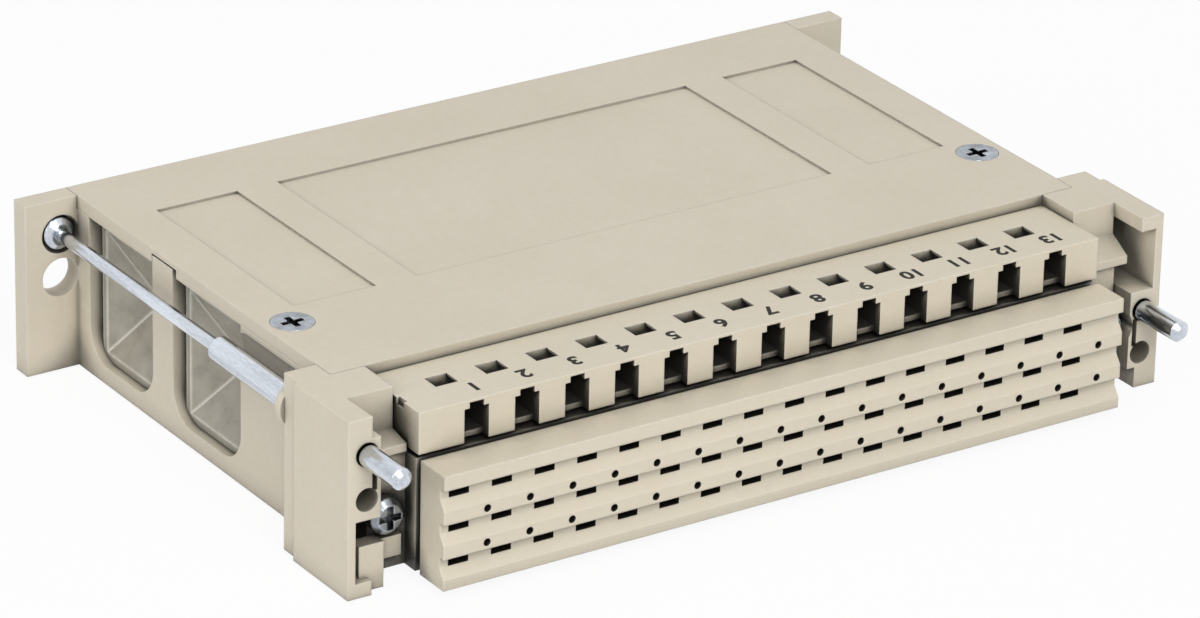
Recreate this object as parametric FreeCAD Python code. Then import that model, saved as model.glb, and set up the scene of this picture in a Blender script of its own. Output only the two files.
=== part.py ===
import FreeCAD, Part
import os
from FreeCAD import Vector

# Connector shell housing: a two-part moulded hood for a 48-way rack connector, with a coding
# strip, four blanking inserts, a cable clamp and two long captive fixing screws.
# Millimetres. X runs along the connector, Y from the mating side to the cable flange, Z up.
# The origin is the middle of the underside, halfway between the lug fronts and the flange.

# Housing as a whole
depth = 65.0
body_overhang = 4.1
wall = 1.6
floor_thickness = 1.6
cover_thickness = 1.6
fit_gap = 0.1
seat_gap = 0.05
# Overlap of solids that are joined, and how far a cutting solid runs past a face
join = 0.2
beyond = 1.0

# Cable flange at the rear
flange_edge = 4.2
flange_thickness = 2.4
flange_hole_diameter = 4.4

# Fixing lugs at the front
lug_edge = 2.2
lug_panel_depth = 10.6
lug_strip_depth = 2.7
lug_strip_inset = 0.5
lug_cap_offset = 1.5
lug_block_offset = 0.5
lug_block_height = 11.3
lug_shelf_step = 2.4
lug_pocket_wall = 0.9
lug_pocket_depth = 7.4
lug_boss_radius = 2.3
lug_boss_length = 0.9

# Cheeks between the lugs and the coding strip
cheek_gap = 0.2
cheek_front = 5.0
cheek_foot_rise_left = 1.2
cheek_foot_rise_right = 2.2
ledge_front = 2.3
ledge_drop = 0.3
ledge_rise = 0.6

# Foot in front of the left ear
foot_inner_setback = 4.8
foot_outer_setback = 1.9
foot_front = 1.0
foot_height = 5.1
toe_inner_setback = 7.4
toe_bottom = 2.6
toe_setback = 0.9

# Fixing screws and their bores
screw_offset = 2.1
screw_edge = 4.05
screw_pitch = 5.0
sleeve_diameter = 2.8
sleeve_clearance = 0.05
sleeve_rear = 29.0
sleeve_front = 3.6
tip_diameter = 2.34
tip_bore_diameter = 2.6
tip_reach = 7.0
tip_free_start = 0.3
neck_diameter = 2.0
tip_round = 0.5
shank_diameter = 1.44
screw_head_diameter = 4.0
screw_head_length = 1.8
screw_head_setback = 0.3
screw_slot_width = 0.7
screw_dome_radius = 1.7
screw_dome_length = 0.35
screw_neck_radius = 1.2
screw_neck_length = 0.7
screw_slot_depth = 0.7
groove_radius = 2.8
groove_rear = 30.0
keyhole_width = 0.6
keyhole_depth = 2.2
keyhole_inset = 0.1
keyhole_start = 0.9
screw_head_bevel = 0.3

# Front seat of the connector and the shelf under the coding strip
seat_depth = 5.9
shelf_thickness = 1.2
shelf_drop = 4.2
rib_thickness = 0.8
rib_height = 2.0
peg_inset = 1.1
peg_depth = 9.0
peg_radius = 0.7
peg_height = 1.5

# Windows in the side walls and their blanking inserts
window_zone_start = 28.4
window_zone_margin = 2.5
window_post = 4.2
window_front_share = 14.0 / 27.5
window_sill = 2.0
window_radius = 3.7
post_tab_height = 0.8
post_tab_thickness = 1.0
insert_reveal = 1.0
insert_margin = 1.1
insert_flange = 1.8
insert_slot = 1.1
insert_skin = 1.1
relief_border = 0.9
relief_depth = 3.3
relief_tip_width = 0.8
relief_tip_height = 1.6
relief_skin_side = 0.2
relief_skin_tip = 0.5
insert_slot_backing = 0.66
rail_web = 1.0
rail_lip = 1.0
rail_reach = 1.5
rail_drop = 1.2

# Bosses and countersunk screws of the cover
cover_screw_inset = 3.2
cover_screw_depth = 23.4
cover_boss_radius = 2.7
small_shank_diameter = 2.4
small_bore_diameter = 2.5
cover_head_diameter = 4.6
cover_head_height = 1.15
cover_screw_length = 9.5
cover_head_rim = 0.1
screw_point_length = 0.8
screw_point_radius = 0.4
screw_bore_room = 0.5
small_head_bevel = 0.6
cross_width = 0.75
cross_span = 2.6
cross_depth = 0.8

# Cover
cover_notch_margin_front = 0.8
cover_notch_margin_rear = 0.1
cover_notch_height = 1.0
label_depth = 0.3
label_front = 26.7
label_rear_setback = 10.0
side_label_inner_setback = 15.2
side_label_outer_setback = 5.3
middle_label_setback = 20.1
hook_x = 25.0
hook_width = 6.0
hook_drop = 2.2
hook_lip = 0.9
hook_thickness = 1.9

# Cable entry and clamp
entry_radius = 5.2
entry_tongue_rise = 2.5
clamp_setback = 8.6
clamp_width = 5.0
clamp_half_length = 13.0
clamp_rise = 5.6
clamp_arch_wall = 0.9
clamp_arch_slope = 1.6
clamp_bore_radius = 4.4
clamp_screw_x = 9.6
clamp_boss_radius = 2.8
clamp_shank_diameter = 2.9
clamp_screw_bore_diameter = 3.0
clamp_head_diameter = 5.4
clamp_head_height = 1.9
clamp_shoulder = 2.6
clamp_screw_length = 7.5
clamp_slot_width = 0.8

# Coding strip with thirteen places
strip_front = 0.3
strip_gap = 0.3
strip_top_drop = 1.1
place_count = 13
place_margin_left = 6.0
place_margin_right = 6.4
place_square_width = 2.65
place_square_depth = 2.3
place_square_centre = 5.8
place_square_sink = 3.2
place_notch_shift = 0.8
place_notch_width = 2.9
place_notch_neck = 1.7
place_notch_shoulder_drop = 0.95
place_notch_top_drop = 0.3
place_notch_depth = 6.6
place_sill_height = 0.6
place_sill_setback = 1.2
end_notch_front = 3.2
end_notch_rear = 4.6
end_notch_width = 0.4
end_notch_depth = 0.8

# Connector insulator
connector_bottom = 0.9
connector_gap_above = 0.4
land_front = -4.6
groove_floor = -3.8
groove_above_row = 0.8
groove_below_row = 0.4
groove_slope = 1.1
neck_front = -0.1
neck_rear = 0.8
neck_depth = 0.7
ear_reach = 4.4
ear_front = 2.9
ear_hole_diameter = 2.7
tail_block_inset = 0.2
tail_block_bottom = 1.9
tail_block_drop = 1.0
tail_block_rear = 13.5

# Contacts in three rows of sixteen
column_count = 16
column_pitch = 5.08
column_margin_left = 2.2
column_margin_right = 6.0
row_margin_below = 2.69
row_margin_above = 2.39
row_pitch = 3.81
slot_width = 2.4
slot_above_row = 0.3
slot_below_row = 0.4
slot_skin = 1.2
chamber_width = 2.6
chamber_height = 1.7
contact_width = 2.4
contact_height = 1.5
contact_mouth = 0.55
contact_front_gap = 0.3
contact_web_start = 8.0
contact_tail_height = 0.7
contact_tail_end = 19.0
pilot_diameter = 0.85
pilot_sink = 3.0
pilot_shift = 2.92
pilot_rise = 1.54

# Connector screws and the threaded inserts that take them
ear_screw_offset = 2.8
ear_head_diameter = 4.0
ear_head_height = 1.9
ear_head_relief = 2.2
ear_screw_end_gap = 0.1
nut_diameter = 3.6
nut_length = 4.2

# Widths: the housing follows the connector, and the connector its columns of contacts
connector_half = ((column_count - 1) * column_pitch + column_margin_left + column_margin_right) / 2
column_first = column_margin_left - connector_half
strip_half = connector_half
place_first = place_margin_left - strip_half
place_pitch = (2 * strip_half - place_margin_left - place_margin_right) / (place_count - 1)
body_half = connector_half + body_overhang
inner_half = body_half - wall
screw_line = body_half + screw_offset
lug_half = screw_line + lug_edge
flange_half = screw_line + flange_edge
lug_cap_inner = body_half + lug_cap_offset
lug_block_inner = body_half + lug_block_offset
cheek_inner = connector_half + cheek_gap
ear_half = connector_half + ear_reach
ear_screw_x = connector_half + ear_screw_offset
tail_block_half = connector_half - tail_block_inset
peg_x = strip_half - peg_inset
cover_screw_x = body_half - cover_screw_inset
side_label_inner = body_half - side_label_inner_setback
side_label_outer = body_half - side_label_outer_setback
middle_label_half = body_half - middle_label_setback
foot_inner = lug_half - foot_inner_setback
foot_outer = lug_half - foot_outer_setback
toe_inner = lug_half - toe_inner_setback

# Heights: the rows of contacts set the connector, and shelf and cover lie above it
row_middle = connector_bottom + row_margin_below + row_pitch
connector_top = row_middle + row_pitch + row_margin_above
shelf_top = connector_top + connector_gap_above
shelf_bottom = shelf_top - shelf_thickness
cover_bottom = shelf_top + shelf_drop
height = cover_bottom + cover_thickness
strip_bottom = shelf_top + seat_gap
strip_top = height - strip_top_drop
place_notch_shoulder = strip_top - place_notch_shoulder_drop
place_notch_top = strip_top - place_notch_top_drop
tail_block_top = connector_top - tail_block_drop
ledge_bottom = shelf_top - ledge_drop
ledge_top = shelf_top + ledge_rise
cheek_foot_left = shelf_top + cheek_foot_rise_left
cheek_foot_right = shelf_top + cheek_foot_rise_right
rail_top = cover_bottom - rail_drop
cable_height = height / 2
entry_tongue_bottom = cable_height + entry_tongue_rise

# Distances behind the lug fronts
front = -depth / 2
flange_front = depth - flange_thickness
screw_head_rear = depth - screw_head_setback
ear_head_front = ear_front - ear_head_height
ear_screw_length = seat_depth + nut_length - ear_screw_end_gap - ear_head_front
lug_rear = lug_panel_depth + lug_strip_depth
cover_front = lug_panel_depth
strip_rear = lug_rear - rib_thickness - fit_gap
strip_step = cover_front - strip_gap
clamp_depth = flange_front - clamp_setback
label_rear = depth - label_rear_setback
window_rear_end = flange_front - window_zone_margin
window_space = window_rear_end - window_zone_start - window_post
window_front_end = window_zone_start + window_space * window_front_share
window_rear_start = window_front_end + window_post
cover_notch_front = window_front_end - cover_notch_margin_front
cover_notch_rear = window_rear_start + cover_notch_margin_rear

rows = [row_middle + row_pitch, row_middle, row_middle - row_pitch]
columns = [column_first + column_pitch * i for i in range(column_count)]
places = [place_first + place_pitch * i for i in range(place_count)]
windows = {
    "front": (window_zone_start, window_front_end),
    "rear": (window_rear_start, window_rear_end),
}
LEFT = -1
RIGHT = 1
sides = {"left": LEFT, "right": RIGHT}
# The lugs are alike when the housing is turned half a turn about Y. The left screw
# sits in the hole next to the edge and the right screw in the inner one.
screw_height = {LEFT: height - screw_edge, RIGHT: screw_edge + screw_pitch}
spare_height = {LEFT: height - screw_edge - screw_pitch, RIGHT: screw_edge}


def at(distance):
    """Y of a point that lies this far behind the lug fronts."""
    return front + distance


def block(x0, x1, d0, d1, z0, z1):
    """Box between two X, two distances behind the lug fronts and two heights."""
    return Part.makeBox(x1 - x0, d1 - d0, z1 - z0, Vector(x0, at(d0), z0))


def side_block(side, inner, outer, d0, d1, z0, z1):
    """Box on the left or right side, from an inner to an outer distance from the middle."""
    x0, x1 = sorted((side * inner, side * outer))
    return block(x0, x1, d0, d1, z0, z1)


def rod_x(distance, z, radius, x0, x1):
    """Cylinder along X."""
    return Part.makeCylinder(radius, x1 - x0, Vector(x0, at(distance), z), Vector(1, 0, 0))


def rod_y(x, z, radius, d0, d1):
    """Cylinder along Y."""
    return Part.makeCylinder(radius, d1 - d0, Vector(x, at(d0), z), Vector(0, 1, 0))


def rod_z(x, distance, radius, z0, z1):
    """Upright cylinder."""
    return Part.makeCylinder(radius, z1 - z0, Vector(x, at(distance), z0), Vector(0, 0, 1))


def side_profile(points, x0, x1):
    """Closed outline of (distance, height) points, extruded along X."""
    corners = [Vector(x0, at(d), z) for d, z in points]
    face = Part.Face(Part.makePolygon(corners + corners[:1]))
    return face.extrude(Vector(x1 - x0, 0, 0))


def end_profile(points, d0, d1):
    """Closed outline of (x, height) points, extruded along Y."""
    corners = [Vector(x, at(d0), z) for x, z in points]
    face = Part.Face(Part.makePolygon(corners + corners[:1]))
    return face.extrude(Vector(0, d1 - d0, 0))


def turned(profile, base, direction, normal):
    """Solid of revolution of (radius, length) points about a line through base."""
    corners = [base + normal * r + direction * s for r, s in profile]
    face = Part.Face(Part.makePolygon(corners + corners[:1]))
    return face.revolve(base, direction, 360)


def fused(shapes):
    """Union of a list of solids, with seam edges removed."""
    whole = shapes[0].multiFuse(shapes[1:]) if len(shapes) > 1 else shapes[0]
    return whole.removeSplitter()


def cross_recess(x, z_or_d, top, upright):
    """Cross-shaped driver recess in the head of a small screw."""
    arm = cross_span / 2
    slot = cross_width / 2
    if upright:
        along = block(x - arm, x + arm, z_or_d - slot, z_or_d + slot, top - cross_depth, top + beyond)
        across = block(x - slot, x + slot, z_or_d - arm, z_or_d + arm, top - cross_depth, top + beyond)
    else:
        deep = top + cross_depth
        along = block(x - arm, x + arm, top - beyond, deep, z_or_d - slot, z_or_d + slot)
        across = block(x - slot, x + slot, top - beyond, deep, z_or_d - arm, z_or_d + arm)
    return along.fuse(across)


def window_opening(side, start, end):
    """U-shaped opening through a side wall, open at the top."""
    r = window_radius
    shoulder = window_sill + r
    x0, x1 = sorted((side * (inner_half - join), side * (body_half + join)))
    above = block(x0, x1, start, end, shoulder, height)
    below = block(x0, x1, start + r, end - r, window_sill, shoulder + join)
    front_corner = rod_x(start + r, shoulder, r, x0, x1)
    rear_corner = rod_x(end - r, shoulder, r, x0, x1)
    return fused([above, below, front_corner, rear_corner])


def insert_rails(side):
    """Moulded rails on the inner wall that hold the two blanking inserts of one side."""
    flange_inner = inner_half - seat_gap - insert_flange
    lip_outer = flange_inner - seat_gap
    lip_inner = lip_outer - rail_lip
    gap_front = windows["front"][1] + insert_margin + fit_gap
    gap_rear = windows["rear"][0] - insert_margin - fit_gap
    middle = (gap_front + gap_rear) / 2
    first = windows["front"][0] - insert_margin - fit_gap
    last = windows["rear"][1] + insert_margin + fit_gap
    half_web = (gap_rear - gap_front) / 2
    webs = [
        (middle - half_web, middle + half_web, middle - rail_reach, middle + rail_reach),
        (first - rail_web, first, first - rail_web, first + rail_reach),
        (last, flange_front, last - rail_reach, flange_front),
    ]
    foot = floor_thickness - join
    rails = []
    for web_start, web_end, lip_start, lip_end in webs:
        rails.append(side_block(side, lip_inner, inner_half + join, web_start, web_end, foot, rail_top))
        rails.append(side_block(side, lip_inner, lip_outer, lip_start, lip_end, foot, rail_top))
    return rails


def lug(side):
    """Fixing lug: bored block, thin-walled pocket, panelled outside and inner cheek."""
    low = side == RIGHT
    if low:
        step_z = (lug_shelf_step, lug_block_height)
        pocket_z = (lug_block_height, height - wall)
    else:
        step_z = (height - lug_block_height, height - lug_shelf_step)
        pocket_z = (wall, height - lug_block_height)
    foot = cheek_foot_right if low else cheek_foot_left

    panel = side_block(side, lug_cap_inner, lug_half, 0, lug_panel_depth, 0, height)
    strip = side_block(side, cheek_inner, lug_half - lug_strip_inset, seat_depth, lug_rear, 0, height)
    bored = side_block(side, lug_block_inner, lug_half, 0, seat_depth, step_z[0], step_z[1])
    behind = side_block(side, cheek_inner, lug_cap_inner, seat_depth, lug_panel_depth, 0, height)
    boss = rod_y(side * screw_line, screw_height[side], lug_boss_radius, lug_rear - join,
                 lug_rear + lug_boss_length)
    x0, x1 = sorted((side * cheek_inner, side * lug_cap_inner))
    cheek = side_profile(
        [
            (seat_depth + join, ledge_bottom),
            (ledge_front, ledge_bottom),
            (ledge_front, ledge_top),
            (cheek_front, foot),
            (cheek_front, height),
            (seat_depth + join, height),
        ],
        x0,
        x1,
    )
    whole = fused([panel, strip, bored, behind, boss, cheek])

    pocket = side_block(side, lug_cap_inner, lug_half - lug_pocket_wall, -beyond, lug_pocket_depth,
                        pocket_z[0], pocket_z[1])
    outside = side_block(side, lug_half - lug_strip_inset, lug_half + beyond, lug_panel_depth,
                         lug_rear + beyond, 0, height)
    return whole.cut(pocket).cut(outside.cut(boss))


def lug_cuts(side):
    """Screw bores, the keyhole between them and the room for the ear screw's head."""
    x = side * screw_line
    used = screw_height[side]
    spare = spare_height[side]
    tip_r = tip_bore_diameter / 2
    sleeve_r = sleeve_diameter / 2 + sleeve_clearance
    cuts = []
    for z in (used, spare):
        cuts.append(rod_y(x, z, tip_r, -beyond, sleeve_front))
        cuts.append(rod_y(x, z, sleeve_r, sleeve_front - seat_gap, lug_rear + lug_boss_length + beyond))
    low, high = sorted((used, spare))
    neck_x = x - side * (tip_r - keyhole_width / 2 - keyhole_inset)
    cuts.append(block(neck_x - keyhole_width / 2, neck_x + keyhole_width / 2, -beyond, keyhole_depth,
                      low + keyhole_start, high - keyhole_start))
    cuts.append(rod_y(side * ear_screw_x, row_middle, ear_head_relief, -beyond, ear_front))
    nut_r = nut_diameter / 2 + seat_gap
    cuts.append(rod_y(side * ear_screw_x, row_middle, nut_r, seat_depth - beyond,
                      seat_depth + nut_length))
    return cuts


def sleeve_groove(side):
    """Round-ended trough in the side wall behind the lug, around the screw's sleeve."""
    x = side * screw_line
    z = screw_height[side]
    end = groove_rear - groove_radius
    trough = rod_y(x, z, groove_radius, lug_rear, end)
    ball = Part.makeSphere(groove_radius, Vector(x, at(end), z))
    return trough.fuse(ball)


def lower_shell():
    """Tray with side walls, lugs, cable flange, rails, bosses and the shelf for the strip."""
    tray = block(-body_half, body_half, lug_rear - join, flange_front + join, 0, cover_bottom)
    inside = block(-inner_half, inner_half, lug_rear - beyond, flange_front, floor_thickness, height)
    tray = tray.cut(inside)
    front_floor = block(-cheek_inner, cheek_inner, seat_depth, lug_rear, 0, floor_thickness)
    shelf = side_profile(
        [
            (seat_depth, shelf_bottom),
            (seat_depth, shelf_top),
            (lug_rear - rib_thickness, shelf_top),
            (lug_rear - rib_thickness, shelf_top + rib_height),
            (lug_rear, shelf_top + rib_height),
            (lug_rear, shelf_bottom),
        ],
        -cheek_inner,
        cheek_inner,
    )
    flange = block(-flange_half, flange_half, flange_front, depth, 0, height)
    pieces = [tray, front_floor, shelf, flange]
    for side in sides.values():
        pieces.append(lug(side))
        pieces.extend(insert_rails(side))
        x = side * cover_screw_x
        foot = floor_thickness - join
        pieces.append(rod_z(x, cover_screw_depth, cover_boss_radius, foot, cover_bottom))
        pieces.append(side_block(side, body_half - post_tab_thickness, body_half, window_front_end,
                                 window_rear_start, cover_bottom - join, cover_bottom + post_tab_height))
        pieces.append(rod_z(side * peg_x, peg_depth, peg_radius, shelf_top - join,
                            shelf_top + peg_height))
        pieces.append(rod_z(side * clamp_screw_x, clamp_depth, clamp_boss_radius, foot, cable_height))
    pieces.append(clamp_saddle())
    pieces.append(left_foot())
    shell = fused(pieces)

    cuts = [rear_cover_rebate(), cable_entry()]
    for side in sides.values():
        cuts.extend(lug_cuts(side))
        boss = rod_y(side * screw_line, screw_height[side], lug_boss_radius, lug_rear - beyond,
                     lug_rear + lug_boss_length)
        cuts.append(sleeve_groove(side).cut(boss))
        for start, end in windows.values():
            cuts.append(window_opening(side, start, end))
        for z in (screw_height[side], spare_height[side]):
            cuts.append(rod_y(side * screw_line, z, flange_hole_diameter / 2, flange_front,
                              depth + beyond))
        boss_floor = height - cover_screw_length - screw_bore_room
        cuts.append(rod_z(side * cover_screw_x, cover_screw_depth, small_bore_diameter / 2,
                          boss_floor, height))
        clamp_floor = cable_height + clamp_shoulder - clamp_screw_length - screw_bore_room
        cuts.append(rod_z(side * clamp_screw_x, clamp_depth, clamp_screw_bore_diameter / 2, clamp_floor,
                          cable_height + beyond))
        cuts.append(hook_socket(side))
    cuts.append(block(-body_half - seat_gap, body_half + seat_gap, cover_front - seat_gap,
                      lug_rear + beyond, cover_bottom, height + beyond))
    for cut in cuts:
        shell = shell.cut(cut)
    return shell.removeSplitter()


def left_foot():
    """Stepped foot in front of the left ear, standing on the lug's lower wall."""
    foot = side_block(LEFT, foot_inner, foot_outer, foot_front, ear_front - fit_gap, 0, foot_height)
    toe = side_block(LEFT, toe_inner, foot_inner + join, foot_front + toe_setback, ear_front - fit_gap,
                     toe_bottom, foot_height - join)
    return foot.fuse(toe)


def rear_cover_rebate():
    """Room for the cover's rear edge in the cable flange."""
    half = body_half + seat_gap
    return block(-half, half, flange_front - beyond, depth + beyond, cover_bottom, height + beyond)


def cable_entry():
    """Round-bottomed slot in the cable flange, open towards the cover."""
    round_part = rod_y(0, cable_height, entry_radius, flange_front - beyond, depth + beyond)
    upper = block(-entry_radius, entry_radius, flange_front - beyond, depth + beyond, cable_height,
                  height + beyond)
    return round_part.fuse(upper)


def clamp_saddle():
    """Upright rib on the floor with a half-round seat for the cable."""
    half = clamp_screw_x
    rib = block(-half, half, clamp_depth - clamp_width / 2, clamp_depth + clamp_width / 2,
                floor_thickness - join, cable_height)
    seat = rod_y(0, cable_height, clamp_bore_radius, clamp_depth - clamp_width, clamp_depth + clamp_width)
    return rib.cut(seat)


def hook_socket(side):
    """Pocket in the flange that a hook of the cover engages."""
    half = hook_width / 2 + fit_gap
    x = side * hook_x
    bottom = cover_bottom - hook_drop
    return block(x - half, x + half, flange_front - join, flange_front + hook_lip + fit_gap,
                 bottom - fit_gap, bottom + hook_lip + fit_gap)


def upper_shell():
    """Flat cover with label fields, countersunk holes, edge notches, hooks and cable tongue."""
    plate = block(-body_half, body_half, cover_front, depth, cover_bottom, height)
    tongue = block(-entry_radius + fit_gap, entry_radius - fit_gap, flange_front, depth,
                   entry_tongue_bottom, cover_bottom + join)
    tongue = tongue.cut(rod_y(0, cable_height, entry_radius, flange_front - beyond, depth + beyond))
    pieces = [plate, tongue]
    for side in sides.values():
        x = side * hook_x
        half = hook_width / 2
        stem_rear = flange_front - fit_gap
        bottom = cover_bottom - hook_drop
        pieces.append(block(x - half, x + half, stem_rear - hook_thickness, stem_rear, bottom,
                            cover_bottom + join))
        pieces.append(block(x - half, x + half, stem_rear - join, flange_front + hook_lip, bottom,
                            bottom + hook_lip))
    cover = fused(pieces)

    cuts = [block(-middle_label_half, middle_label_half, label_front, label_rear, height - label_depth,
                  height + beyond)]
    for side in sides.values():
        cuts.append(side_block(side, side_label_inner, side_label_outer, label_front, label_rear,
                               height - label_depth, height + beyond))
        cuts.append(side_block(side, body_half - post_tab_thickness - fit_gap, body_half + beyond,
                               cover_notch_front, cover_notch_rear, cover_bottom - beyond,
                               cover_bottom + cover_notch_height))
        x = side * cover_screw_x
        cuts.append(rod_z(x, cover_screw_depth, small_bore_diameter / 2, cover_bottom - beyond,
                          height + beyond))
        seat = Vector(x, at(cover_screw_depth), height)
        cuts.append(turned(countersink(seat_gap), seat, Vector(0, 0, -1), Vector(1, 0, 0)))
    for cut in cuts:
        cover = cover.cut(cut)
    return cover.removeSplitter()


def countersink(extra):
    """Half section of a countersunk head, widened all round by extra."""
    head_r = cover_head_diameter / 2 + extra
    neck_r = small_shank_diameter / 2
    bottom = cover_head_height + extra
    return [(0, -beyond), (head_r, -beyond), (head_r, cover_head_rim), (neck_r, bottom), (0, bottom)]


def cover_screw(side):
    """Countersunk cross-recess screw that holds the cover on its boss."""
    shank_r = small_shank_diameter / 2
    head_r = cover_head_diameter / 2
    profile = [(0, 0), (head_r, 0), (head_r, cover_head_rim), (shank_r, cover_head_height),
               (shank_r, cover_screw_length - screw_point_length),
               (screw_point_radius, cover_screw_length), (0, cover_screw_length)]
    x = side * cover_screw_x
    screw = turned(profile, Vector(x, at(cover_screw_depth), height), Vector(0, 0, -1), Vector(1, 0, 0))
    return screw.cut(cross_recess(x, cover_screw_depth, height, True))


def blanking_insert(side, start, end):
    """Blanking piece behind a window: plug, flange and a hollow pyramid sunk into the housing."""
    face = body_half - insert_reveal
    flange_outer = inner_half - seat_gap
    flange_inner = flange_outer - insert_flange
    sill = window_sill + fit_gap
    top = cover_bottom - seat_gap
    r = window_radius - fit_gap
    plug_start = start + fit_gap
    plug_end = end - insert_slot
    x0, x1 = sorted((side * flange_outer, side * face))
    plug = fused([
        block(x0, x1, plug_start, plug_end, sill + r, top),
        block(x0, x1, plug_start + r, plug_end, sill, sill + r + join),
        rod_x(plug_start + r, sill + r, r, x0, x1),
    ])
    shoulder = window_sill + window_radius
    corner = block(x0 - beyond, x1 + beyond, end - window_radius, end, 0, shoulder)
    plug = plug.cut(corner.cut(rod_x(end - window_radius, shoulder, r, x0 - beyond, x1 + beyond)))
    flange = side_block(side, flange_inner, flange_outer, start - insert_margin, end + insert_margin,
                        floor_thickness + seat_gap, top)

    border = relief_border
    middle_d = (plug_start + plug_end) / 2
    middle_z = (sill + top) / 2
    mouth = (plug_start + border, plug_end - border, sill + border, top - border)
    tip = (middle_d - relief_tip_width / 2, middle_d + relief_tip_width / 2,
           middle_z - relief_tip_height / 2, middle_z + relief_tip_height / 2)
    relief = pyramid(side, mouth, tip, face, face - relief_depth)
    hump = pyramid(side, widened(mouth, relief_skin_side), widened(tip, relief_skin_tip), face,
                   face - relief_depth - insert_skin)
    hump = hump.common(side_block(side, 0, flange_outer, start - insert_margin, end + insert_margin,
                                  0, height))
    slot = side_block(side, flange_inner + insert_slot_backing, face + beyond, plug_end, end, shoulder,
                      top + beyond)
    return fused([plug, flange, hump]).cut(relief).cut(slot).removeSplitter()


def widened(rectangle, margin):
    """Rectangle of (start, end, bottom, top) grown by a margin on every side."""
    start, end, bottom, top = rectangle
    return start - margin, end + margin, bottom - margin, top + margin


def pyramid(side, mouth, tip, outer, inner):
    """Four-sided taper from a rectangle at outer to a smaller one at inner, both along Y and Z."""
    rings = []
    for (d0, d1, z0, z1), x in ((mouth, side * outer), (tip, side * inner)):
        rings.append([Vector(x, at(d), z) for d, z in ((d0, z0), (d1, z0), (d1, z1), (d0, z1))])
    base, top = rings
    outlines = [base, top]
    for i in range(4):
        j = (i + 1) % 4
        outlines.append([base[i], base[j], top[j], top[i]])
    faces = [Part.Face(Part.makePolygon(corners + corners[:1])) for corners in outlines]
    solid = Part.Solid(Part.Shell(faces))
    return solid if solid.Volume > 0 else solid.reversed()


def coding_strip():
    """Strip with thirteen coding places, each a square hole on top and an arched notch in front."""
    bar = side_profile(
        [
            (strip_front, strip_bottom),
            (strip_front, strip_top),
            (strip_step, strip_top),
            (strip_step, cover_bottom - seat_gap),
            (strip_rear, cover_bottom - seat_gap),
            (strip_rear, strip_bottom),
        ],
        -strip_half,
        strip_half,
    )
    for x in places:
        bar = bar.cut(place_cut(x))
    for side in sides.values():
        bar = bar.cut(rod_z(side * peg_x, peg_depth, peg_radius + seat_gap, strip_bottom - beyond,
                            shelf_top + peg_height + fit_gap))
    end_notch = block(-strip_half - beyond, -strip_half + end_notch_width, end_notch_front,
                      end_notch_rear, strip_top - end_notch_depth, strip_top + beyond)
    return bar.cut(end_notch)


def place_cut(x):
    """One coding place: square hole, arched notch open downwards, and the sill inside it."""
    half_square = place_square_width / 2
    half_depth = place_square_depth / 2
    square = block(x - half_square, x + half_square, place_square_centre - half_depth,
                   place_square_centre + half_depth, strip_top - place_square_sink, strip_top + beyond)
    middle = x + place_notch_shift
    half = place_notch_width / 2
    neck = place_notch_neck / 2
    arch = end_profile(
        [
            (middle - half, strip_bottom - beyond),
            (middle + half, strip_bottom - beyond),
            (middle + half, place_notch_shoulder),
            (middle + neck, place_notch_shoulder),
            (middle + neck, place_notch_top),
            (middle - neck, place_notch_top),
            (middle - neck, place_notch_shoulder),
            (middle - half, place_notch_shoulder),
        ],
        strip_front - beyond,
        strip_front + place_notch_depth,
    )
    sill = block(middle - half - beyond, middle + half + beyond, strip_front + place_sill_setback,
                 strip_front + place_notch_depth + beyond, strip_bottom - beyond,
                 strip_bottom + place_sill_height)
    return square.fuse(arch.cut(sill))


def insulator_front():
    """Mating block of the insulator, its face grooved along each row of contacts."""
    points = [(neck_front, connector_bottom), (land_front, connector_bottom)]
    for row in reversed(rows):
        points.append((land_front, row - groove_below_row - groove_slope))
        points.append((groove_floor, row - groove_below_row))
        points.append((groove_floor, row + groove_above_row))
        points.append((land_front, row + groove_above_row))
    points.extend([(land_front, connector_top), (neck_front, connector_top)])
    return side_profile(points, -connector_half, connector_half)


def contact_chamber(x, z):
    """Slot in the face of the insulator and the wider chamber behind it."""
    left = x - slot_width / 2
    slot = block(left, left + slot_width, land_front - beyond, groove_floor + slot_skin + join,
                 z - slot_below_row, z + slot_above_row)
    half = chamber_width / 2
    chamber = block(x - half, x + half, groove_floor + slot_skin, tail_block_rear + beyond,
                    z - chamber_height / 2, z + chamber_height / 2)
    return slot.fuse(chamber)


def connector_body():
    """Insulator with grooved face, neck, two ears, tail block and 48 contact chambers."""
    neck_half = connector_half - neck_depth
    neck = block(-neck_half, neck_half, neck_front - join, neck_rear + join,
                 connector_bottom + neck_depth, connector_top - neck_depth)
    flange_top = connector_top - fit_gap
    base = block(-connector_half, connector_half, neck_rear, seat_depth, connector_bottom, flange_top)
    ears = block(-ear_half, ear_half, ear_front, seat_depth, connector_bottom, flange_top)
    tail = block(-tail_block_half, tail_block_half, seat_depth - join, tail_block_rear, tail_block_bottom,
                 tail_block_top)
    body = fused([insulator_front(), neck, base, ears, tail])
    cuts = []
    for z in rows:
        for x in columns:
            cuts.append(contact_chamber(x, z))
    for z in rows[1:]:
        for x in columns:
            cuts.append(rod_y(x + pilot_shift, z + pilot_rise, pilot_diameter / 2, land_front - beyond,
                              groove_floor + pilot_sink))
    for side in sides.values():
        cuts.append(rod_y(side * ear_screw_x, row_middle, ear_hole_diameter / 2, ear_front - beyond,
                          seat_depth + beyond))
    return body.cut(Part.makeCompound(cuts)).removeSplitter()


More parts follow.
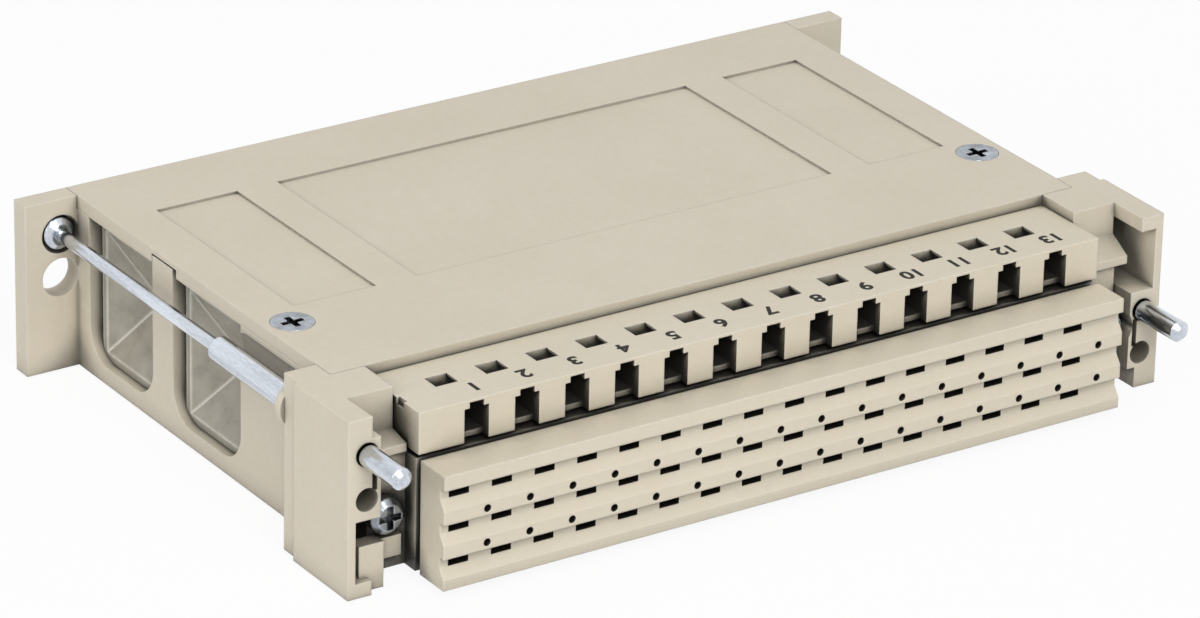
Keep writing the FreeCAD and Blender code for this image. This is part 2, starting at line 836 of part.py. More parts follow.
def contact(x, z):
    """Fork contact: two blades that open a slot for the mating blade, and a wiring tail."""
    tip = groove_floor + slot_skin + contact_front_gap
    tall = contact_height / 2
    mouth = contact_mouth / 2
    tail = contact_tail_height / 2
    upper = [
        (contact_tail_end, tail),
        (tail_block_rear, tail),
        (tail_block_rear, tall),
        (tip, tall),
        (tip, mouth),
        (contact_web_start, mouth),
    ]
    outline = [(d, z + h) for d, h in upper] + [(d, z - h) for d, h in reversed(upper)]
    return side_profile(outline, x - contact_width / 2, x + contact_width / 2)


def contact_row(z):
    """The sixteen contacts of one row."""
    return Part.makeCompound([contact(x, z) for x in columns])


def fixing_screw(side):
    """Long captive screw: slotted head, slim shank, bearing sleeve and guide tip."""
    base = Vector(side * screw_line, at(screw_head_rear), screw_height[side])
    head_r = screw_head_diameter / 2
    shank_r = shank_diameter / 2
    sleeve_r = sleeve_diameter / 2
    neck_r = neck_diameter / 2
    tip_r = tip_diameter / 2
    head_end = screw_head_length
    sleeve_start = screw_head_rear - sleeve_rear
    sleeve_end = screw_head_rear - sleeve_front
    neck_end = screw_head_rear + tip_free_start
    tip_end = screw_head_rear + tip_reach
    profile = [
        (0, 0), (head_r - screw_head_bevel, 0), (head_r, screw_head_bevel), (head_r, head_end),
        (screw_dome_radius, head_end + screw_dome_length),
        (screw_neck_radius, head_end + screw_neck_length), (shank_r, head_end + screw_neck_length),
        (shank_r, sleeve_start), (sleeve_r, sleeve_start),
        (sleeve_r, sleeve_end - seat_gap), (neck_r, sleeve_end - seat_gap), (neck_r, neck_end),
        (tip_r, neck_end), (tip_r, tip_end - tip_round), (tip_r - tip_round, tip_end), (0, tip_end),
    ]
    screw = turned(profile, base, Vector(0, -1, 0), Vector(1, 0, 0))
    half_slot = screw_slot_width / 2
    x = side * screw_line
    z = screw_height[side]
    slot = block(x - half_slot, x + half_slot, screw_head_rear - screw_slot_depth,
                 screw_head_rear + beyond, z - head_r - beyond, z + head_r + beyond)
    return screw.cut(slot)


def connector_screw(side):
    """Pan-head cross-recess screw through an ear of the insulator."""
    x = side * ear_screw_x
    head_r = ear_head_diameter / 2
    shank_r = small_shank_diameter / 2
    top = ear_head_front
    profile = [(0, 0), (head_r - small_head_bevel, 0), (head_r, small_head_bevel),
               (head_r, ear_head_height), (shank_r, ear_head_height), (shank_r, ear_screw_length),
               (0, ear_screw_length)]
    screw = turned(profile, Vector(x, at(top), row_middle), Vector(0, 1, 0), Vector(1, 0, 0))
    return screw.cut(cross_recess(x, row_middle, top, False))


def threaded_insert(side):
    """Round metal insert behind the ear that takes the connector screw."""
    x = side * ear_screw_x
    end = seat_depth + nut_length
    sleeve = rod_y(x, row_middle, nut_diameter / 2, seat_depth, end)
    return sleeve.cut(rod_y(x, row_middle, small_bore_diameter / 2, seat_depth - beyond, end + beyond))


def cable_clamp():
    """Bridge over the cable, seated on the two bosses of the saddle."""
    half = clamp_half_length
    bore = clamp_bore_radius
    top = cable_height + clamp_rise
    foot_top = cable_height + clamp_shoulder
    slope_start = bore + clamp_arch_wall
    slope_end = slope_start - clamp_arch_slope
    arch = end_profile(
        [(-half, cable_height), (half, cable_height), (half, foot_top), (slope_start, foot_top),
         (slope_end, top), (-slope_end, top), (-slope_start, foot_top), (-half, foot_top)],
        clamp_depth - clamp_width / 2,
        clamp_depth + clamp_width / 2,
    )
    arch = arch.cut(rod_y(0, cable_height, bore, clamp_depth - clamp_width, clamp_depth + clamp_width))
    for side in sides.values():
        arch = arch.cut(rod_z(side * clamp_screw_x, clamp_depth, clamp_screw_bore_diameter / 2,
                              cable_height - beyond, top + beyond))
    return arch


def clamp_screw(side):
    """Slotted pan-head screw that draws the clamp down."""
    x = side * clamp_screw_x
    head_r = clamp_head_diameter / 2
    shank_r = clamp_shank_diameter / 2
    top = cable_height + clamp_shoulder + clamp_head_height
    length = clamp_screw_length + clamp_head_height
    profile = [(0, 0), (head_r - small_head_bevel, 0), (head_r, small_head_bevel),
               (head_r, clamp_head_height),
               (shank_r, clamp_head_height), (shank_r, length), (0, length)]
    screw = turned(profile, Vector(x, at(clamp_depth), top), Vector(0, 0, -1), Vector(1, 0, 0))
    half_slot = clamp_slot_width / 2
    slot = block(x - half_slot, x + half_slot, clamp_depth - head_r - beyond,
                 clamp_depth + head_r + beyond, top - cross_depth, top + beyond)
    return screw.cut(slot)


def build():
    """Every sub-part by its name."""
    parts = {
        "lower_shell": lower_shell(),
        "upper_shell": upper_shell(),
        "connector_body": connector_body(),
        "contacts_upper_row": contact_row(rows[0]),
        "contacts_middle_row": contact_row(rows[1]),
        "contacts_lower_row": contact_row(rows[2]),
        "coding_strip": coding_strip(),
        "cable_clamp": cable_clamp(),
    }
    for name, side in sides.items():
        for place, (start, end) in windows.items():
            parts["blanking_insert_%s_%s" % (name, place)] = blanking_insert(side, start, end)
        parts["fixing_screw_%s" % name] = fixing_screw(side)
        parts["cover_screw_%s" % name] = cover_screw(side)
        parts["connector_screw_%s" % name] = connector_screw(side)
        parts["threaded_insert_%s" % name] = threaded_insert(side)
        parts["clamp_screw_%s" % name] = clamp_screw(side)
    return parts


os.makedirs("parts", exist_ok=True)
for part_name, shape in build().items():
    shape.exportStep("parts/%s.step" % part_name)
    print(part_name, len(shape.Solids), "solids,", round(shape.Volume, 1), "mm3, valid", shape.isValid())
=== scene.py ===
"""Looks of a rack connector shell housing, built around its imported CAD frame."""

import logging
import math
from dataclasses import dataclass
from enum import Enum

import bpy
from mathutils import Matrix, Vector


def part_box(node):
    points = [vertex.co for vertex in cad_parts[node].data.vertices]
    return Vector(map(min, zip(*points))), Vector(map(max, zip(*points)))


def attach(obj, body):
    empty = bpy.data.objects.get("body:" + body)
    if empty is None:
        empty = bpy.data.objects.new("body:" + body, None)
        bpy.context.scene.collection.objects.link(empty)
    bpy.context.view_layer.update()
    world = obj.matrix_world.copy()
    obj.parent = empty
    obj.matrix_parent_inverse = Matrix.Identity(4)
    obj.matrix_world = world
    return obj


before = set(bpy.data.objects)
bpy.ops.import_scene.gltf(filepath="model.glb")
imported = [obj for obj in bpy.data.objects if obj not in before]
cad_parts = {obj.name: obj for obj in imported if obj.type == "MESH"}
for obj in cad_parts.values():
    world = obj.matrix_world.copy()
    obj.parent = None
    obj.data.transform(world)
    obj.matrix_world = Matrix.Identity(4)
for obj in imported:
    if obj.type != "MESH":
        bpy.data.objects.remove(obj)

log = logging.getLogger("connector_shell")

MM = 0.001
HOUSING_BODY = "housing"
WHITE = (1.0, 1.0, 1.0, 1.0)


class Side(Enum):
    """The two ends of the housing, seen from the mating side."""

    LEFT = "left"
    RIGHT = "right"


class Grain(Enum):
    """How coarse a surface's texture is."""

    SPARK_ERODED = "spark_eroded"
    POLISHED_TOOL = "polished_tool"
    TURNED = "turned"
    PLATED = "plated"


def linear(red: float, green: float, blue: float) -> tuple[float, float, float, float]:
    """Turn an sRGB colour of 0 to 255 into linear light.

    Args:
        red: Red of the colour as it is seen.
        green: Green of the colour as it is seen.
        blue: Blue of the colour as it is seen.

    Returns:
        Linear red, green and blue, and an alpha of one.
    """

    def curve(value: float) -> float:
        """Undo the display curve for one channel."""
        share = value / 255.0
        return share / 12.92 if share <= 0.04045 else ((share + 0.055) / 1.055) ** 2.4

    return curve(red), curve(green), curve(blue), 1.0


class NodeGroupBuilder:
    """Makes a shader node group with named sockets and short calls for its nodes."""

    def __init__(self, name: str) -> None:
        """Start an empty group with an input and an output node."""
        self.tree = bpy.data.node_groups.new(name, "ShaderNodeTree")
        self.inside = self.tree.nodes.new("NodeGroupInput")
        self.outside = self.tree.nodes.new("NodeGroupOutput")

    def socket(self, name: str, kind: str, default: float | None = None, output: bool = False) -> None:
        """Add a socket to the group's interface.

        Args:
            name: Name of the socket.
            kind: "Float", "Color" or "Vector".
            default: Value of an input that is left unlinked.
            output: Whether it is an output.
        """
        made = self.tree.interface.new_socket(
            name=name, in_out="OUTPUT" if output else "INPUT", socket_type="NodeSocket" + kind
        )
        if default is not None:
            made.default_value = default

    def node(self, kind: str, **inputs: object) -> bpy.types.Node:
        """Add a node and set or link its inputs.

        Args:
            kind: Blender's name of the node type, without the prefix.
            **inputs: Socket names with underscores for spaces, or i0, i1 for
                numbered ones. A socket is linked and anything else is a value.

        Returns:
            The new node.
        """
        made = self.tree.nodes.new("ShaderNode" + kind)
        for key, value in inputs.items():
            numbered = key[0] == "i" and key[1:].isdigit()
            place = made.inputs[int(key[1:]) if numbered else key.replace("_", " ")]
            if isinstance(value, bpy.types.NodeSocket):
                self.tree.links.new(value, place)
            else:
                place.default_value = value
        return made

    def math(self, operation: str, first: object, second: object = 0.0) -> bpy.types.NodeSocket:
        """Add a Math node.

        Args:
            operation: What it does with its two values.
            first: A socket or a number.
            second: A socket or a number.

        Returns:
            The node's output.
        """
        made = self.node("Math", i0=first, i1=second)
        made.operation = operation
        return made.outputs[0]

    def emit(self, name: str, value: bpy.types.NodeSocket) -> None:
        """Link a socket to one of the group's outputs.

        Args:
            name: Name of the output.
            value: The socket that it passes on.
        """
        self.tree.links.new(value, self.outside.inputs[name])


@dataclass
class SharedEffects:
    """The node groups that several finishes use, each built once.

    The noise scales of the edge wear with its painted highlight, and of the corner
    grime with its painted shade, are in waves per metre. The coarse grain's share and
    the fine mottle's factor multiply a finish's own scale. Each range says where a
    mask begins and where it is full.
    """

    wear_and_highlight_noise_scale: float = 420.0
    edge_samples: int = 4
    coarse_grain_share: float = 0.12
    coarse_grain_height: float = 0.5
    fine_mottle_factor: float = 22.0
    broad_mottle_weight: float = 0.6
    fine_mottle_weight: float = 0.4
    mottle_range: tuple[float, float] = (0.35, 0.65)
    grime_and_shade_noise_scale: float = 260.0
    least_grime_and_shade: float = 0.5
    corner_range: tuple[float, float] = (0.78, 0.45)
    corner_samples: int = 4
    deep_range: tuple[float, float] = (0.62, 0.38)
    deep_samples: int = 8

    def __post_init__(self) -> None:
        """Build the groups."""
        self.edge_wear_and_highlight = self._edge_wear_and_highlight()
        self.grain = self._grain()
        self.mottle = self._mottle()
        self.grime_and_shade = self._grime_and_shade()

    def _edge_wear_and_highlight(self) -> bpy.types.NodeTree:
        """Build a mask of worn edges with a painted highlight along them, and a normal that rounds
        them slightly.

        Returns:
            The node group.
        """
        group = NodeGroupBuilder("edge_wear_and_highlight")
        group.socket("Radius", "Float", 0.0003)
        group.socket("Break Up", "Float", 0.5)
        group.socket("Gain", "Float", 6.0)
        group.socket("Mask", "Float", output=True)
        group.socket("Rounded Normal", "Vector", output=True)
        bevel = group.node("Bevel", Radius=group.inside.outputs["Radius"])
        bevel.samples = self.edge_samples
        flat = group.node("NewGeometry")
        dot = group.node("VectorMath", i0=bevel.outputs["Normal"], i1=flat.outputs["Normal"])
        dot.operation = "DOT_PRODUCT"
        turn = group.math("SUBTRACT", 1.0, dot.outputs["Value"])
        place = group.node("TexCoord")
        noise = group.node(
            "TexNoise",
            Vector=place.outputs["Object"],
            Scale=self.wear_and_highlight_noise_scale,
            Detail=4.0,
            Roughness=0.6,
        )
        uneven = group.math("MULTIPLY", noise.outputs[0], group.inside.outputs["Break Up"])
        keep = group.math("SUBTRACT", 1.0, uneven)
        strong = group.math("MULTIPLY", turn, group.inside.outputs["Gain"])
        mask = group.math("MULTIPLY", strong, keep)
        group.emit("Mask", group.node("Clamp", i0=mask).outputs[0])
        group.emit("Rounded Normal", bevel.outputs["Normal"])
        return group.tree

    @staticmethod
    def _drawn_out(group: NodeGroupBuilder) -> bpy.types.NodeSocket:
        """Draw the object coordinates out along Y by the group's Stretch input.

        Args:
            group: The group that gets the nodes.

        Returns:
            Socket with the coordinates.
        """
        place = group.node("TexCoord")
        split = group.node("SeparateXYZ", i0=place.outputs["Object"])
        along = group.math("DIVIDE", split.outputs["Y"], group.inside.outputs["Stretch"])
        joined = group.node("CombineXYZ", X=split.outputs["X"], Y=along, Z=split.outputs["Z"])
        return joined.outputs[0]

    def _grain(self) -> bpy.types.NodeTree:
        """Build the height of a fine surface texture, from a scale in grains per metre.

        Returns:
            The node group.
        """
        group = NodeGroupBuilder("surface_grain")
        group.socket("Scale", "Float", 3000.0)
        group.socket("Stretch", "Float", 1.0)
        group.socket("Height", "Float", output=True)
        place = self._drawn_out(group)
        fine = group.node(
            "TexNoise", Vector=place, Scale=group.inside.outputs["Scale"], Detail=3.0, Roughness=0.55
        )
        coarse_scale = group.math("MULTIPLY", group.inside.outputs["Scale"], self.coarse_grain_share)
        coarse = group.node("TexNoise", Vector=place, Scale=coarse_scale, Detail=2.0)
        height = group.math("MULTIPLY", coarse.outputs[0], self.coarse_grain_height)
        group.emit("Height", group.math("ADD", fine.outputs[0], height))
        return group.tree

    def _mottle(self) -> bpy.types.NodeTree:
        """Build a colour that drifts a little between a base and a second tone.

        Returns:
            The node group.
        """
        group = NodeGroupBuilder("mottle")
        group.socket("Base", "Color")
        group.socket("Second", "Color")
        group.socket("Scale", "Float", 60.0)
        group.socket("Stretch", "Float", 1.0)
        group.socket("Amount", "Float", 0.5)
        group.socket("Color", "Color", output=True)
        group.socket("Mask", "Float", output=True)
        place = self._drawn_out(group)
        broad = group.node(
            "TexNoise", Vector=place, Scale=group.inside.outputs["Scale"], Detail=5.0, Roughness=0.6
        )
        fine_scale = group.math("MULTIPLY", group.inside.outputs["Scale"], self.fine_mottle_factor)
        fine = group.node("TexNoise", Vector=place, Scale=fine_scale, Detail=2.0)
        broad_part = group.math("MULTIPLY", broad.outputs[0], self.broad_mottle_weight)
        fine_part = group.math("MULTIPLY", fine.outputs[0], self.fine_mottle_weight)
        both = group.math("ADD", broad_part, fine_part)
        low, high = self.mottle_range
        spread = group.node("MapRange", Value=both, i1=low, i2=high)
        share = group.math("MULTIPLY", spread.outputs[0], group.inside.outputs["Amount"])
        base, second = group.inside.outputs["Base"], group.inside.outputs["Second"]
        mix = group.node("MixRGB", Fac=share, Color1=base, Color2=second)
        group.emit("Color", mix.outputs[0])
        group.emit("Mask", spread.outputs[0])
        return group.tree

    def _grime_and_shade(self) -> bpy.types.NodeTree:
        """Build masks of grime with painted shade in inner corners, and of painted shade deep inside
        recesses.

        Returns:
            The node group.
        """
        group = NodeGroupBuilder("corner_grime_and_shade")
        group.socket("Corner Distance", "Float", 0.0012)
        group.socket("Deep Distance", "Float", 0.006)
        group.socket("Corner", "Float", output=True)
        group.socket("Deep", "Float", output=True)
        # Short-range occlusion: grime with painted shade in inner corners.
        close = group.node("AmbientOcclusion", Distance=group.inside.outputs["Corner Distance"])
        close.samples = self.corner_samples
        begin, full = self.corner_range
        corner = group.node("MapRange", Value=close.outputs["AO"], i1=begin, i2=full)
        place = group.node("TexCoord")
        noise = group.node(
            "TexNoise", Vector=place.outputs["Object"], Scale=self.grime_and_shade_noise_scale, Detail=4.0
        )
        varied = group.math("MULTIPLY", noise.outputs[0], 1.0 - self.least_grime_and_shade)
        uneven = group.math("ADD", varied, self.least_grime_and_shade)
        group.emit("Corner", group.math("MULTIPLY", corner.outputs[0], uneven))
        # Long-range occlusion: painted shade deep inside recesses.
        wide = group.node("AmbientOcclusion", Distance=group.inside.outputs["Deep Distance"])
        wide.samples = self.deep_samples
        begin, full = self.deep_range
        deep = group.node("MapRange", Value=wide.outputs["AO"], i1=begin, i2=full)
        group.emit("Deep", deep.outputs[0])
        return group.tree


DEEP_SHADE = linear(20, 18, 16)


@dataclass(frozen=True)
class Finish:
    """A surface finish, turned into a material once the shared effects exist."""

    name: str
    colour: tuple[float, float, float, float]
    second: tuple[float, float, float, float]
    # Pale colour laid on edges: wear and a painted highlight.
    worn_and_highlit: tuple[float, float, float, float]
    # Dark colour laid in inner corners: grime and painted shade.
    grimed_and_shaded: tuple[float, float, float, float]
    roughness: float
    metallic: float = 0.0
    specular: float = 0.5
    subsurface: float = 0.0
    grain: Grain = Grain.SPARK_ERODED
    mottle_scale: float = 60.0
    mottle_stretch: float = 1.0
    mottle_amount: float = 0.5
    # Edge wear with a painted highlight: its share, band radius and gain.
    wear_and_highlight: float = 0.5
    edge_rounding_radius: float = 0.00022
    wear_and_highlight_gain: float = 6.0
    # Shares of grime with painted shade in inner corners, and of painted shade deep in recesses.
    grime_and_shade: float = 0.5
    depth_shade: float = 0.9
    roughness_spread: float = 0.1

    def grain_values(self) -> tuple[float, float, float]:
        """Scale in grains per metre, stretch along Y and depth in metres."""
        return {
            Grain.SPARK_ERODED: (5200.0, 1.0, 0.000012),
            Grain.POLISHED_TOOL: (1400.0, 1.0, 0.000008),
            Grain.TURNED: (2600.0, 9.0, 0.000006),
            Grain.PLATED: (1700.0, 1.0, 0.000005),
        }[self.grain]

    def material(self, effects: SharedEffects) -> bpy.types.Material:
        """Build the material.

        Args:
            effects: The shared node groups.

        Returns:
            A node-based material with mottled colour, worn edges with a painted highlight, grime with
            painted shade in inner corners, painted shade deep in recesses, and grain.
        """
        made = bpy.data.materials.new(self.name)
        made.use_nodes = True
        tree = made.node_tree
        shader = tree.nodes["Principled BSDF"]
        scale, stretch, depth = self.grain_values()

        mottle = self._group(
            tree,
            effects.mottle,
            Scale=self.mottle_scale,
            Stretch=self.mottle_stretch,
            Amount=self.mottle_amount,
        )
        mottle.inputs["Base"].default_value = self.colour
        mottle.inputs["Second"].default_value = self.second
        wear_and_highlight = self._group(tree, effects.edge_wear_and_highlight, Radius=self.edge_rounding_radius, Gain=self.wear_and_highlight_gain)
        grime_and_shade = self._group(tree, effects.grime_and_shade)
        grain = self._group(tree, effects.grain, Scale=scale, Stretch=stretch)

        # Edge wear with a painted highlight: the pale edge colour laid along the bevel mask.
        worn_and_highlit_share = self._math(tree, "MULTIPLY", wear_and_highlight.outputs["Mask"], self.wear_and_highlight)
        worn_and_highlit = self._mix(tree, worn_and_highlit_share, mottle.outputs["Color"], self.worn_and_highlit)
        # Grime with painted shade in inner corners, then painted shade deep in recesses.
        grime_and_shade_share = self._math(tree, "MULTIPLY", grime_and_shade.outputs["Corner"], self.grime_and_shade)
        grimed_and_shaded = self._mix(tree, grime_and_shade_share, worn_and_highlit, self.grimed_and_shaded)
        deep_share = self._math(tree, "MULTIPLY", grime_and_shade.outputs["Deep"], self.depth_shade)
        shaded = self._mix(tree, deep_share, grimed_and_shaded, DEEP_SHADE)
        tree.links.new(shaded, shader.inputs["Base Color"])

        rough = tree.nodes.new("ShaderNodeMapRange")
        tree.links.new(mottle.outputs["Mask"], rough.inputs["Value"])
        rough.inputs["To Min"].default_value = self.roughness - self.roughness_spread / 2
        rough.inputs["To Max"].default_value = self.roughness + self.roughness_spread / 2
        tree.links.new(rough.outputs[0], shader.inputs["Roughness"])

        bump = tree.nodes.new("ShaderNodeBump")
        bump.inputs["Strength"].default_value = 1.0
        bump.inputs["Distance"].default_value = depth
        tree.links.new(grain.outputs["Height"], bump.inputs["Height"])
        tree.links.new(wear_and_highlight.outputs["Rounded Normal"], bump.inputs["Normal"])
        tree.links.new(bump.outputs[0], shader.inputs["Normal"])

        shader.inputs["Metallic"].default_value = self.metallic
        shader.inputs["Specular IOR Level"].default_value = self.specular
        shader.inputs["Subsurface Weight"].default_value = self.subsurface
        shader.inputs["Subsurface Scale"].default_value = MM
        return made

    @staticmethod
    def _group(tree: bpy.types.NodeTree, group: bpy.types.NodeTree, **values: float) -> bpy.types.Node:
        """Place a shared node group in a material and set its numbers.

        Args:
            tree: The material's node tree.
            group: The shared group.
            **values: Its inputs by name.

        Returns:
            The group's node.
        """
        made = tree.nodes.new("ShaderNodeGroup")
        made.node_tree = group
        for key, value in values.items():
            made.inputs[key].default_value = value
        return made

    @staticmethod
    def _math(
        tree: bpy.types.NodeTree, operation: str, first: bpy.types.NodeSocket, second: float
    ) -> bpy.types.NodeSocket:
        """Combine a socket and a number.

        Args:
            tree: The material's node tree.
            operation: What the Math node does.
            first: The socket.
            second: The number.

        Returns:
            Socket with the result.
        """
        made = tree.nodes.new("ShaderNodeMath")
        made.operation = operation
        tree.links.new(first, made.inputs[0])
        made.inputs[1].default_value = second
        return made.outputs[0]

    @staticmethod
    def _mix(
        tree: bpy.types.NodeTree,
        share: bpy.types.NodeSocket,
        under: bpy.types.NodeSocket,
        over: tuple[float, float, float, float],
    ) -> bpy.types.NodeSocket:
        """Lay one colour over another by a mask.

        Args:
            tree: The material's node tree.
            share: How much of the upper colour shows.
            under: Socket with the lower colour.
            over: The upper colour.

        Returns:
            Socket with the mixed colour.
        """
        made = tree.nodes.new("ShaderNodeMixRGB")
        tree.links.new(share, made.inputs["Fac"])
        tree.links.new(under, made.inputs["Color1"])
        made.inputs["Color2"].default_value = over
        return made.outputs[0]


HOUSING_PLASTIC = Finish(
    name="housing_plastic",
    colour=linear(211, 202, 184),
    second=linear(202, 193, 174),
    worn_and_highlit=linear(240, 235, 222),
    grimed_and_shaded=linear(84, 78, 66),
    roughness=0.52,
    specular=0.42,
    subsurface=0.04,
    wear_and_highlight=0.75,
    edge_rounding_radius=0.00026,
    grime_and_shade=0.8,
    depth_shade=0.68,
)
INSULATOR_PLASTIC = Finish(
    name="insulator_plastic",
    colour=linear(213, 204, 185),
    second=linear(204, 195, 174),
    worn_and_highlit=linear(243, 238, 225),
    grimed_and_shaded=linear(70, 65, 54),
    roughness=0.46,
    specular=0.45,
    subsurface=0.04,
    wear_and_highlight=0.75,
    edge_rounding_radius=0.00026,
    grime_and_shade=0.8,
    depth_shade=0.97,
)
# Its strong pale edge colour paints highlights along the ridges and edges of the sunk pyramids.
INSERT_PLASTIC = Finish(
    name="insert_plastic",
    colour=linear(174, 169, 155),
    second=linear(128, 123, 111),
    worn_and_highlit=linear(240, 236, 225),
    grimed_and_shaded=linear(60, 57, 50),
    roughness=0.3,
    specular=0.55,
    grain=Grain.POLISHED_TOOL,
    mottle_scale=420.0,
    mottle_amount=0.8,
    wear_and_highlight=0.95,
    edge_rounding_radius=0.0005,
    wear_and_highlight_gain=26.0,
    grime_and_shade=0.9,
    roughness_spread=0.16,
)
# The dark second tone, drawn out along the screw's axis, is painted dark reflection streaks on the
# bright steel.
BRIGHT_STEEL = Finish(
    name="bright_steel",
    colour=linear(226, 232, 241),
    second=linear(120, 126, 136),
    worn_and_highlit=linear(246, 249, 253),
    grimed_and_shaded=linear(50, 54, 60),
    roughness=0.16,
    metallic=1.0,
    grain=Grain.TURNED,
    mottle_scale=700.0,
    mottle_stretch=14.0,
    mottle_amount=0.55,
    grime_and_shade=0.8,
    depth_shade=0.6,
)
ZINC_PLATE = Finish(
    name="zinc_plate",
    colour=linear(190, 197, 206),
    second=linear(84, 88, 94),
    worn_and_highlit=linear(244, 246, 250),
    grimed_and_shaded=linear(70, 72, 76),
    roughness=0.26,
    metallic=1.0,
    grain=Grain.PLATED,
    mottle_scale=560.0,
    mottle_amount=0.85,
    wear_and_highlight=0.6,
    grime_and_shade=0.9,
    depth_shade=0.45,
    roughness_spread=0.16,
)
CONTACT_METAL = Finish(
    name="contact_metal",
    colour=linear(214, 190, 132),
    second=linear(196, 170, 112),
    worn_and_highlit=linear(236, 218, 170),
    grimed_and_shaded=linear(70, 58, 36),
    roughness=0.3,
    metallic=1.0,
    grain=Grain.PLATED,
    wear_and_highlight=0.3,
)
INSERT_BRASS = Finish(
    name="insert_brass",
    colour=linear(206, 178, 108),
    second=linear(188, 158, 90),
    worn_and_highlit=linear(232, 210, 150),
    grimed_and_shaded=linear(80, 62, 34),
    roughness=0.34,
    metallic=1.0,
    grain=Grain.TURNED,
    wear_and_highlight=0.3,
)
MARKING_INK = Finish(
    name="marking_ink",
    colour=linear(30, 27, 25),
    second=linear(44, 40, 36),
    worn_and_highlit=linear(90, 84, 74),
    grimed_and_shaded=linear(24, 22, 20),
    roughness=0.6,
    specular=0.2,
    mottle_scale=900.0,
    wear_and_highlight=0.1,
    edge_rounding_radius=0.00004,
    grime_and_shade=0.0,
)


class Palette:
    """The materials of this part, one for each finish."""

    def __init__(self) -> None:
        """Build the shared effects and prepare an empty store."""
        self._effects = SharedEffects()
        self._made: dict[str, bpy.types.Material] = {}

    def __getitem__(self, finish: Finish) -> bpy.types.Material:
        """The material of a finish, built at its first use."""
        if finish.name not in self._made:
            self._made[finish.name] = finish.material(self._effects)
        return self._made[finish.name]

    def dress(self, node: str, finish: Finish) -> None:
        """Give a CAD node its finish.

        Args:
            node: Name of the CAD node.
            finish: The finish it gets.
        """
        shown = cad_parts[node]
        if not shown.material_slots:
            shown.data.materials.append(self[finish])
        for slot in shown.material_slots:
            slot.link = "OBJECT"
            slot.material = self[finish]
        log.info("dressed %s in %s", node, finish.name)


def new_piece(
    name: str, mesh: bpy.types.Mesh, body: str, material: bpy.types.Material
) -> bpy.types.Object:
    """Put a mesh into the scene as a piece that rides on a body.

    Args:
        name: Name of the piece.
        mesh: Its mesh, in metres in the part's frame.
        body: CAD body that carries it.
        material: Its material.

    Returns:
        The new object.
    """
    made = bpy.data.objects.new(name, mesh)
    bpy.context.scene.collection.objects.link(made)
    mesh.materials.clear()
    mesh.materials.append(material)
    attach(made, body)
    log.info("built %s", name)
    return made


@dataclass
class HousingShell:
    """Tray and cover of the housing."""

    nodes: tuple[str, ...] = ("lower_shell", "upper_shell", "cable_clamp")

    def dress(self, palette: Palette) -> None:
        """Give the tray, the cover and the clamp the housing's plastic."""
        for node in self.nodes:
            palette.dress(node, HOUSING_PLASTIC)


@dataclass
class BlankingInserts:
    """The four inserts that close the side windows."""

    places: tuple[str, ...] = ("front", "rear")

    def dress(self, palette: Palette) -> None:
        """Give each insert its smoother plastic."""
        for side in Side:
            for place in self.places:
                palette.dress(f"blanking_insert_{side.value}_{place}", INSERT_PLASTIC)


@dataclass
class Connector:
    """Insulator and its three rows of contacts."""

    rows: tuple[str, ...] = ("upper", "middle", "lower")

    def dress(self, palette: Palette) -> None:
        """Dress the insulator and the contacts."""
        palette.dress("connector_body", INSULATOR_PLASTIC)
        for row in self.rows:
            palette.dress(f"contacts_{row}_row", CONTACT_METAL)


@dataclass
class CodingStrip:
    """Coding strip with the numbers of its thirteen places.

    The row of numbers is measured from the strip's front edge, and the cap share
    is a digit's height as a share of the text's nominal size.
    """

    count: int = 13
    pitch: float = 6.0 * MM
    first: float = -34.2 * MM
    number_row: float = 2.6 * MM
    number_height: float = 1.8 * MM
    number_stretch: float = 1.05
    cap_share: float = 0.7
    stroke_gain: float = 0.09 * MM
    curve_steps: int = 4
    ink_thickness: float = 0.02 * MM

    def build(self, palette: Palette) -> None:
        """Print the numbers 1 to 13 on top of the strip, read from the cable side.

        Args:
            palette: Source of the ink's material.
        """
        low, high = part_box("coding_strip")
        turn = Matrix.Rotation(math.pi, 4, "Z")
        stretch = Matrix.Diagonal((self.number_stretch, 1.0, 1.0, 1.0))
        for index in range(self.count):
            name = f"number_{index + 1:02d}"
            mesh = self._lettering(name, str(index + 1))
            where = Vector((self.first + index * self.pitch, low.y + self.number_row, high.z))
            mesh.transform(Matrix.Translation(where) @ turn @ stretch)
            new_piece(name, mesh, HOUSING_BODY, palette[MARKING_INK])

    def _lettering(self, name: str, body: str) -> bpy.types.Mesh:
        """Make the mesh of one number, centred on the origin.

        Args:
            name: Name of the mesh.
            body: The digits.

        Returns:
            A thin closed mesh.
        """
        text = bpy.data.curves.new(name, "FONT")
        text.body = body
        text.size = self.number_height / self.cap_share
        text.align_x = "CENTER"
        text.align_y = "CENTER"
        text.extrude = self.ink_thickness / 2
        text.offset = self.stroke_gain
        text.resolution_u = self.curve_steps
        carrier = bpy.data.objects.new("lettering", text)
        bpy.context.scene.collection.objects.link(carrier)
        mesh = bpy.data.meshes.new_from_object(carrier)
        bpy.data.objects.remove(carrier)
        bpy.data.curves.remove(text)
        return mesh

    def dress(self, palette: Palette) -> None:
        """Give the strip the insulator's plastic."""
        palette.dress("coding_strip", INSULATOR_PLASTIC)


@dataclass
class Screws:
    """All screws and threaded inserts."""

    small: tuple[str, ...] = ("cover_screw", "connector_screw", "clamp_screw")

    def dress(self, palette: Palette) -> None:
        """Dress the bright fixing screws, the plated small screws and the brass inserts."""
        for side in Side:
            palette.dress(f"fixing_screw_{side.value}", BRIGHT_STEEL)
            palette.dress(f"threaded_insert_{side.value}", INSERT_BRASS)
            for name in self.small:
                palette.dress(f"{name}_{side.value}", ZINC_PLATE)


@dataclass(frozen=True)
class Lamp:
    """Square soft lamp, placed by the direction it shines from."""

    name: str
    azimuth: float
    elevation: float
    distance: float
    size: float
    power: float


